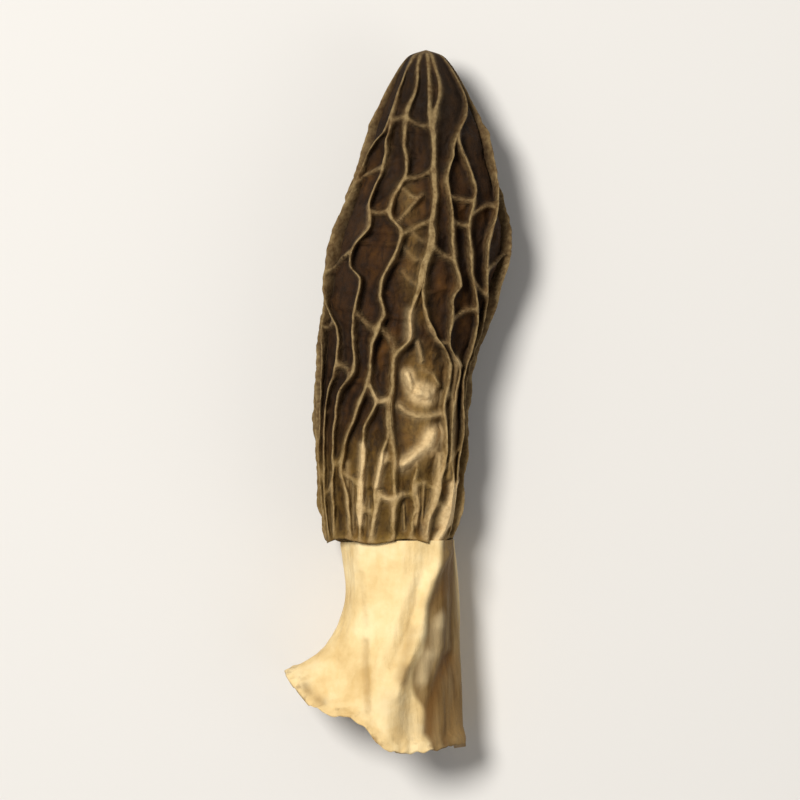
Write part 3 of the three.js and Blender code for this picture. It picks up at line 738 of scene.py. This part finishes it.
    def place_points(self):
        """Points of the skin, and where its dust and painted highlight, painted shadows and side
        shade go.
        """
        turn = self.turns()
        outer = cap_half_width(self.t)
        above = DEPTH_SHARE_ABOVE * outer
        half_depth = np.where(np.cos(turn) > 0, above, cap_half_depth_below(self.t))
        wave = MARGIN_RISE + MARGIN_WAVE * np.sin(MARGIN_WAVES * turn)
        lift = wave * np.maximum(0, 1 - self.t / MARGIN_REACH)
        y = np.broadcast_to(CAP_LENGTH * self.t + lift, turn.shape)
        spot = np.stack([outer * np.sin(turn), y, half_depth * np.cos(turn)], axis=-1)
        sunk, direction = self.sunk_depth(spot), self.sink_direction(turn)
        x = cap_middle_x(self.t) + outer * np.sin(turn) - sunk * np.sin(direction)
        z = half_depth * np.cos(turn) - sunk * np.cos(direction)
        self.points = np.stack([x, y, z], axis=-1)
        # Crests and links get dust and a painted highlight
        self.brightness = np.maximum(self.crest, self.link * self.height)
        # The painted shadow fades where the pit floor rises
        self.foot_painted_shadow = self.foot_painted_shadow * np.clip(1 - self.height, 0, 1)
        # Painted side light: the flanks away from the lit side are painted darker
        self.painted_side_light = 0.5 + 0.5 * np.cos(turn - LIT_SIDE)


def ring_quads(rows, sides):
    """Quads between each ring of points and the next, facing out when the rings run along +Y."""
    first = np.arange(rows - 1)[:, None] * sides
    here = first + np.arange(sides)
    beside = first + (np.arange(sides) + 1) % sides
    quads = np.stack([here, beside, beside + sides, here + sides], axis=-1)
    return quads.reshape(-1, 4).tolist()


def fan(ring, centre):
    """Triangles from a ring of point numbers to a centre."""
    following = np.roll(ring, -1)
    return [[int(a), int(b), centre] for a, b in zip(ring, following)]


def new_piece(name, points, faces, attributes):
    """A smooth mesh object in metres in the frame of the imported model."""
    mesh = bpy.data.meshes.new(name)
    world = (points + np.array(PLACE)) * MM
    world[:, 2] = np.maximum(world[:, 2], 0)
    mesh.from_pydata(world.tolist(), [], faces)
    for attribute, values in attributes.items():
        layer = mesh.attributes.new(attribute, "FLOAT", "POINT")
        layer.data.foreach_set("value", np.asarray(values, np.float32))
    mesh.validate()
    mesh.shade_smooth()
    piece = bpy.data.objects.new(name, mesh)
    bpy.context.scene.collection.objects.link(piece)
    return piece


def hollow_ring(t, turn):
    """A ring of the cap's hollow."""
    radius = curve_through(CAP_HOLLOW_RADIUS)(t)
    x = curve_through(CAP_HOLLOW_X)(t) + radius * np.sin(turn)
    y = np.full_like(x, CAP_LENGTH * t)
    return np.stack([x, y, HOLLOW_DEPTH_SHARE * radius * np.cos(turn)], axis=-1)


def cap_rings(skin):
    """Rings of the whole cap: down its hollow, round its margin and up its skin."""
    margin = skin.points[0]
    middle = cap_middle_x(0)
    turn = np.arctan2(margin[:, 0] - middle, margin[:, 2])
    hollow = [hollow_ring(t, turn) for t in np.linspace(HOLLOW_TOP, HOLLOW_MOUTH, HOLLOW_ROWS)]
    inwards = [middle * (1 - ROLLED_SHARE), ROLLED_HEIGHT, 0]
    rolled = margin * [ROLLED_SHARE, 1, ROLLED_SHARE] + inwards
    return np.concatenate([np.array(hollow), rolled[None], skin.points])


def cap_attributes(skin):
    """What the material reads at each point: a value for the hollow, then those of the skin."""
    values_and_inner = {
        "crest": (skin.brightness, 0),
        "height": (np.clip(skin.height, 0, 1), 0.5),
        "pale": (skin.pale, 0),
        "painted_side_light": (skin.painted_side_light, 0.5),
        "foot_painted_shadow": (skin.foot_painted_shadow, 0),
        "golden": (skin.golden, 1),
        "along": (np.broadcast_to(skin.t, skin.depth.shape), 0.1),
    }
    inside = (HOLLOW_ROWS + 1) * len(skin.gap)
    return {
        name: np.concatenate([np.full(inside, inner), values.ravel(), [values[-1].mean(), inner]])
        for name, (values, inner) in values_and_inner.items()
    }


def make_cap():
    """The cap: its skin, its margin and its hollow in one closed mesh."""
    skin = CapSkin()
    rings = cap_rings(skin)
    rows, sides = rings.shape[:2]
    points = rings.reshape(-1, 3)
    tip = np.array([[cap_middle_x(1), CAP_LENGTH, 0]])
    end = np.array([[curve_through(CAP_HOLLOW_X)(1), CAP_LENGTH * HOLLOW_TOP + HOLLOW_END, 0]])
    faces = ring_quads(rows, sides)
    faces += fan(np.arange(sides) + (rows - 1) * sides, len(points))
    faces += fan(np.arange(sides)[::-1], len(points) + 1)
    return new_piece("cap_fine", np.concatenate([points, tip, end]), faces, cap_attributes(skin))


def fold_offset(share, angle):
    """How far the fold and the sunken face beside it push the stem's skin in or out."""
    fold = curve_through(FOLD_ANGLE)(share)
    ridge = FOLD_HEIGHT * bell(angle - fold, FOLD_HALF_ANGLE)
    across = np.clip((angle - fold) / (FACE_END_ANGLE - fold), 0, 1)
    sunk = curve_through(FACE_DEPTH)(share) * np.sin(math.pi * across)
    ripple = STEM_RIPPLE * np.sin(STEM_RIPPLES * np.radians(angle) + RIPPLE_TWIST * share)
    return ridge - sunk + ripple


def stem_skin(share, angle, offset):
    """Points of the stem at a share of the way down and an angle, pushed out by an offset."""
    turn = np.radians(angle)
    right, left = curve_through(STEM_RIGHT)(share), curve_through(STEM_LEFT)(share)
    above, below = curve_through(STEM_ABOVE)(share), curve_through(STEM_BELOW)(share)
    x = (np.where(np.sin(turn) > 0, right, left) + offset) * np.sin(turn)
    z = (np.where(np.cos(turn) > 0, above, below) + offset) * np.cos(turn)
    y = STEM_TOP + share * (curve_through(CUT_EDGE)(angle) - STEM_TOP)
    return np.stack([x, y, z], axis=-1)


def stem_angles():
    """Angles of the stem's columns, in a single row."""
    return STEM_FIRST_ANGLE + 360 * np.arange(STEM_SIDES)[None, :] / STEM_SIDES


def drawn_folds(points):
    """How far the stem's folds push each point out, and their painted shade and highlight, with
    dirt and tone.
    """
    folds, fold_shade_and_dirt = np.zeros(points.shape[:2]), np.zeros(points.shape[:2])
    upper = points[..., 2] > 0
    for half_width, rise, darkness, line in STEM_FOLDS:
        near = upper * bell(line_distance(points[..., 0], points[..., 1], line), half_width)
        folds += rise * near
        fold_shade_and_dirt += darkness * near
    return folds, fold_shade_and_dirt


def stem_rings(shares, inside):
    """Rings of the stem's skin or of its hollow, and the painted shade and highlight of its folds.
    """
    share, angle = np.array(shares)[:, None], stem_angles()
    offset = fold_offset(share, angle)
    if inside:
        offset = FOLD_SHARE_INSIDE * offset - curve_through(STEM_WALL)(share)
    points = stem_skin(share, angle, offset)
    folds, fold_shade_and_dirt = drawn_folds(points)
    crumples = layered(points / [1, CRUMPLE_STRETCH, 1], STEM_CRUMPLES)
    crumples = crumples * (CRUMPLES_AT_TOP + (1 - CRUMPLES_AT_TOP) * share)
    fibres = layered(points / [1, FIBRE_STRETCH, 1], STEM_FIBRES)
    at_rim = smooth_step(share, RIM_SHARE, 1)
    ragged = layered(points, RIM_RAGGED)
    curl = at_rim * (RIM_CURL * (RIM_CURL_LEAST + ragged))
    kept = SHARE_INSIDE if inside else 1
    points = stem_skin(share, angle, offset + kept * (crumples + folds) + fibres + curl)
    points[..., 1] += at_rim * ragged
    return points, fold_shade_and_dirt


def face_painted_shade(share):
    """Where the painted shade of the stem's sunken side lies, at each share of the way down and
    each angle.
    """
    angle, edge = stem_angles(), curve_through(SHADE_EDGE)(share)[:, None]
    begins = smooth_step(angle, edge, edge + SHADE_EDGE_WIDTH)
    return begins * (1 - smooth_step(angle, *SHADE_ENDS_OVER))


def make_stem():
    """The stem: a closed tube that goes up its skin and down its hollow."""
    outside, fold_shade_and_dirt = stem_rings(np.linspace(1, -STEM_INTO_CAP, STEM_ROWS), False)
    inside, _ = stem_rings(np.linspace(-STEM_INTO_CAP, 1, STEM_HOLLOW_ROWS), True)
    rings = np.concatenate([outside, inside])
    faces = ring_quads(len(rings), STEM_SIDES)
    last = (len(rings) - 1) * STEM_SIDES
    side = np.arange(STEM_SIDES)
    following = (side + 1) % STEM_SIDES
    rim = np.stack([last + side, last + following, following, side], axis=-1)
    faces += rim.tolist()
    share = np.concatenate([np.linspace(1, 0, STEM_ROWS), np.linspace(0, 1, STEM_HOLLOW_ROWS)])
    within = np.concatenate([np.zeros(STEM_ROWS), np.ones(STEM_HOLLOW_ROWS)])
    fold_shade_and_dirt = np.concatenate([fold_shade_and_dirt, np.zeros(inside.shape[:2])])
    attributes = {
        "down": np.repeat(share, STEM_SIDES),
        "within": np.repeat(within, STEM_SIDES),
        # Painted shade of the sunken face
        "facet_painted_shade": face_painted_shade(share).ravel(),
        # Painted shade and painted highlight along the folds, with some dirt and tone
        "fold_shade_and_dirt": np.clip(fold_shade_and_dirt, 0, 1).ravel(),
        "light": np.clip(-fold_shade_and_dirt, 0, 1).ravel(),
    }
    return new_piece("stem_fine", rings.reshape(-1, 3), faces, attributes)


def linear(code):
    """A linear colour from a hexadecimal screen colour."""
    values = [int(code[k : k + 2], 16) / 255 for k in (0, 2, 4)]
    return tuple(v / 12.92 if v <= 0.04045 else ((v + 0.055) / 1.055) ** 2.4 for v in values)


class Shader:
    """Short ways to add nodes to a new material."""

    def __init__(self, name):
        self.material = bpy.data.materials.new(name)
        self.material.use_nodes = True
        self.nodes = self.material.node_tree.nodes
        self.link = self.material.node_tree.links.new
        self.surface = self.nodes["Principled BSDF"]

    def attribute(self, name):
        node = self.nodes.new("ShaderNodeAttribute")
        node.attribute_name = name
        return node.outputs["Fac"]

    def place(self, stretch=(1, 1, 1)):
        """Place on the piece in metres, squeezed or stretched along each axis."""
        coordinates = self.nodes.new("ShaderNodeTexCoord")
        mapping = self.nodes.new("ShaderNodeMapping")
        mapping.inputs["Scale"].default_value = stretch
        self.link(coordinates.outputs["Object"], mapping.inputs["Vector"])
        return mapping.outputs["Vector"]

    def noise(self, grain, detail=4, place=None, rough=0.55):
        """Noise whose grains are so many millimetres wide."""
        node = self.nodes.new("ShaderNodeTexNoise")
        node.inputs["Scale"].default_value = 1 / (grain * MM)
        node.inputs["Detail"].default_value = detail
        node.inputs["Roughness"].default_value = rough
        self.link(place or self.place(), node.inputs["Vector"])
        return node.outputs["Fac"]

    def fit(self, value, low, high, to_low=0, to_high=1):
        """Stretch a value from one range to another, and keep it inside."""
        node = self.nodes.new("ShaderNodeMapRange")
        ends = {"From Min": low, "From Max": high, "To Min": to_low, "To Max": to_high}
        for socket, number in ends.items():
            node.inputs[socket].default_value = number
        self.link(value, node.inputs["Value"])
        return node.outputs["Result"]

    def product(self, first, second):
        return self.math("MULTIPLY", first, second)

    def math(self, operation, first, second):
        node = self.nodes.new("ShaderNodeMath")
        node.operation = operation
        for socket, value in zip(node.inputs, (first, second)):
            if isinstance(value, (int, float)):
                socket.default_value = value
            else:
                self.link(value, socket)
        return node.outputs["Value"]

    def ramp(self, value, stops):
        """A colour for each value, from (place, screen colour) stops."""
        node = self.nodes.new("ShaderNodeValToRGB")
        elements = node.color_ramp.elements
        while len(elements) < len(stops):
            elements.new(0.5)
        for element, (place, code) in zip(elements, stops):
            element.position = place
            element.color = (*linear(code), 1)
        self.link(value, node.inputs["Fac"])
        return node.outputs["Color"]

    def mix(self, share, first, second, blend="MIX"):
        """A colour from two, each a socket or a hexadecimal screen colour."""
        node = self.nodes.new("ShaderNodeMix")
        node.data_type = "RGBA"
        node.blend_type = blend
        sockets = [socket for socket in node.inputs if socket.type == "RGBA"]
        for socket, color in zip(sockets, (first, second)):
            if isinstance(color, str):
                socket.default_value = (*linear(color), 1)
            else:
                self.link(color, socket)
        factor = node.inputs["Factor"]
        if isinstance(share, (int, float)):
            factor.default_value = share
        else:
            self.link(share, factor)
        return next(socket for socket in node.outputs if socket.type == "RGBA")

    def bump(self, height, depth, before=None):
        """Fine relief so many millimetres deep."""
        node = self.nodes.new("ShaderNodeBump")
        node.inputs["Strength"].default_value = 1
        node.inputs["Distance"].default_value = depth * MM
        self.link(height, node.inputs["Height"])
        if before:
            self.link(before, node.inputs["Normal"])
        return node.outputs["Normal"]

    def finish(self, color, roughness, relief, gloss):
        """Give the surface its colour, roughness and relief, and how much it shines."""
        self.link(color, self.surface.inputs["Base Color"])
        self.link(roughness, self.surface.inputs["Roughness"])
        self.link(relief, self.surface.inputs["Normal"])
        self.surface.inputs["Specular IOR Level"].default_value = gloss


def cap_skin_color(shader, golden):
    """Pits dark in own colour and painted shade, pale crests, brown high up, golden low down, rusty
    patches.
    """
    blotches = shader.noise(BLOTCH_GRAIN, detail=6)
    blotchy = shader.fit(blotches, 0.3, 0.7, -BLOTCH_CONTRAST, BLOTCH_CONTRAST)
    level = shader.math("ADD", shader.attribute("height"), blotchy)
    upper, lower = shader.ramp(level, UPPER_COLORS), shader.ramp(level, LOWER_COLORS)
    color = shader.mix(golden, upper, lower)
    patches = shader.fit(shader.noise(PATCH_GRAIN, detail=3), 0.5, 0.66, 0, RUST_STRENGTH)
    return shader.mix(patches, color, RUSTY)


def paint_shade_on_cap(shader, color, golden):
    """Painted shadow at the feet of the ribs, and painted shade in creases that run along the cap.
    """
    strength = shader.fit(golden, 0, 1, FOOT_STRENGTH_HIGH, FOOT_STRENGTH_LOW)
    color = shader.mix(shader.product(shader.attribute("foot_painted_shadow"), strength), color, PAINTED_FOOT_SHADOW)
    # Painted shade in the wrinkles' creases, deeper in the pits
    squeezed = shader.place(WRINKLE_SQUEEZE)
    wrinkles = shader.noise(WRINKLE_GRAIN, detail=5, place=squeezed, rough=0.6)
    in_pits = shader.fit(shader.attribute("height"), 0.5, 0.9, CREASE_STRENGTH, 0)
    creased = shader.product(shader.fit(wrinkles, 0.5, 0.36), in_pits)
    return shader.mix(creased, color, PAINTED_CREASE_SHADE)


def dust_and_paint_light_on_cap(shader, color, grain):
    """Dust and a painted highlight on the crests, pale folds, and painted shade on the flanks and
    at the tip.
    """
    crest = shader.attribute("crest")
    # Dust and a painted highlight along the crests
    dust_and_highlight = shader.product(crest, shader.fit(grain, 0.35, 0.65, DUST_HIGHLIGHT_LEAST, DUST_HIGHLIGHT_MOST))
    color = shader.mix(dust_and_highlight, color, DUST_AND_HIGHLIGHT)
    color = shader.mix(shader.attribute("pale"), color, PALE_SKIN)
    # Painted shade on the flanks and painted shadow towards the tip, lighter on the crests
    flank_painted_shade = shader.fit(shader.attribute("painted_side_light"), 0.5, 0.9, FLANK_PAINTED_SHADE, 0)
    tip_painted_shadow = shader.fit(shader.attribute("along"), 0.66, 0.88, 0, TIP_PAINTED_SHADOW)
    off_crest = shader.fit(crest, 0, 1, 1, CREST_PAINTED_SHADE)
    painted_shade = shader.product(shader.math("MAXIMUM", flank_painted_shade, tip_painted_shadow), off_crest)
    color = shader.mix(painted_shade, color, PAINTED_SHADE_BROWN)
    return shader.mix(1, color, shader.ramp(grain, MOTTLE_COLORS), "MULTIPLY")


def cap_material():
    shader = Shader("cap_skin")
    golden = shader.attribute("golden")
    grain = shader.noise(DUST_GRAIN)
    color = cap_skin_color(shader, golden)
    color = paint_shade_on_cap(shader, color, golden)
    color = dust_and_paint_light_on_cap(shader, color, grain)
    folded = shader.bump(shader.noise(FOLDED_GRAIN, detail=6), FOLDED_DEPTH)
    relief = shader.bump(grain, DUST_DEPTH, before=folded)
    shader.finish(color, shader.fit(grain, 0.3, 0.7, *CAP_ROUGHNESS), relief, CAP_GLOSS)
    return shader.material


def stem_skin_color(shader, patches, streaks):
    """Cream in patches and streaks, painted shade (partly a darker tone) on the sunken face, and a
    tanned lower end.
    """
    down = shader.attribute("down")
    color = shader.ramp(patches, CREAM_COLORS)
    color = shader.mix(shader.fit(streaks, 0.5, 0.75, 0, STREAK_STRENGTH), color, STREAK)
    # Painted shade, partly a darker tone, on the sunken face
    shade = shader.product(shader.attribute("facet_painted_shade"), shader.fit(streaks, 0.35, 0.65, 1, 0.8))
    color = shader.mix(shade, color, PAINTED_FACE_SHADE)
    tanned = shader.product(shader.fit(down, 0.65, 0.95), shader.fit(patches, 0.3, 0.6, 1, 0.4))
    return shader.mix(shader.product(tanned, TAN_STRENGTH), color, TANNED)


def mark_stem(shader, color):
    """Pale folds partly painted highlight, dark folds partly painted shade, dirt specks at the cut
    edge, the brown inside.
    """
    pale = shader.product(shader.attribute("light"), PALE_FOLD_HIGHLIGHT_STRENGTH)
    fold_shade_and_dirt = shader.product(shader.attribute("fold_shade_and_dirt"), FOLD_SHADE_AND_DIRT_STRENGTH)
    color = shader.mix(fold_shade_and_dirt, shader.mix(pale, color, PALE_FOLD_AND_HIGHLIGHT), PAINTED_FOLD_SHADE_AND_DIRT)
    at_edge = shader.fit(shader.attribute("down"), 0.92, 1)
    specks = shader.product(shader.fit(shader.noise(SPECK_GRAIN, detail=5), 0.55, 0.68), at_edge)
    color = shader.mix(shader.product(specks, SPECK_STRENGTH), color, SPECK)
    within = shader.product(shader.attribute("within"), INSIDE_STRENGTH)
    return shader.mix(within, color, INSIDE)


def stem_material():
    shader = Shader("stem_skin")
    along_fibres = shader.place(FIBRE_SQUEEZE)
    fibres = shader.noise(FIBRE_GRAIN, detail=6, place=along_fibres, rough=0.65)
    streaks = shader.noise(STREAK_GRAIN, place=along_fibres)
    color = stem_skin_color(shader, shader.noise(CREAM_GRAIN), streaks)
    color = mark_stem(shader, color)
    crumpled = shader.bump(shader.noise(CRUMPLED_GRAIN, detail=5), CRUMPLED_DEPTH)
    relief = shader.bump(fibres, FIBRE_DEPTH, before=crumpled)
    shader.finish(color, shader.fit(fibres, 0.3, 0.7, *STEM_ROUGHNESS), relief, STEM_GLOSS)
    return shader.material


def add_light(name, place, size, power, color):
    """A round soft light that points at the middle of the floor."""
    data = bpy.data.lights.new(name, "AREA")
    data.shape = "DISK"
    data.size = size
    data.energy = power
    data.color = color
    light = bpy.data.objects.new(name, data)
    light.location = place
    light.rotation_euler = (-Vector(place)).to_track_quat("-Z", "Y").to_euler()
    bpy.context.scene.collection.objects.link(light)


def add_stage():
    """A plain pale floor, an even surrounding light and the soft lights."""
    bpy.ops.mesh.primitive_plane_add(size=FLOOR_SIZE, location=(0, 0, 0))
    floor = bpy.context.object
    floor.name = "floor"
    shader = Shader("floor_pale")
    shader.surface.inputs["Base Color"].default_value = FLOOR_COLOR
    shader.surface.inputs["Roughness"].default_value = FLOOR_ROUGHNESS
    floor.data.materials.append(shader.material)
    world = bpy.data.worlds.new("world")
    bpy.context.scene.world = world
    world.use_nodes = True
    world.node_tree.nodes["Background"].inputs["Color"].default_value = WORLD_COLOR
    world.node_tree.nodes["Background"].inputs["Strength"].default_value = WORLD_STRENGTH
    for light in LIGHTS:
        add_light(*light)


def add_camera():
    """A camera straight above the middle of the mushroom."""
    data = bpy.data.cameras.new("camera")
    data.lens = LENS
    data.sensor_width = SENSOR_WIDTH
    data.clip_start = NEAREST_SEEN
    camera = bpy.data.objects.new("camera", data)
    low, high = cad_bounds
    middle = [(low[k] + high[k]) / 2 for k in range(2)]
    distance = LENS / SENSOR_WIDTH * VIEW_SIZE
    camera.location = (middle[0], middle[1], distance + VIEWED_HEIGHT)
    bpy.context.scene.collection.objects.link(camera)
    bpy.context.scene.camera = camera


bpy.context.scene.view_settings.view_transform = "Standard"
add_camera()
cap = make_cap()
cap.data.materials.append(cap_material())
stem = make_stem()
stem.data.materials.append(stem_material())
for piece, node, slot in ((cap, "cap", "cap_skin"), (stem, "stem", "stem_skin")):
    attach(piece, "root")
    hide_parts(node)
add_stage()
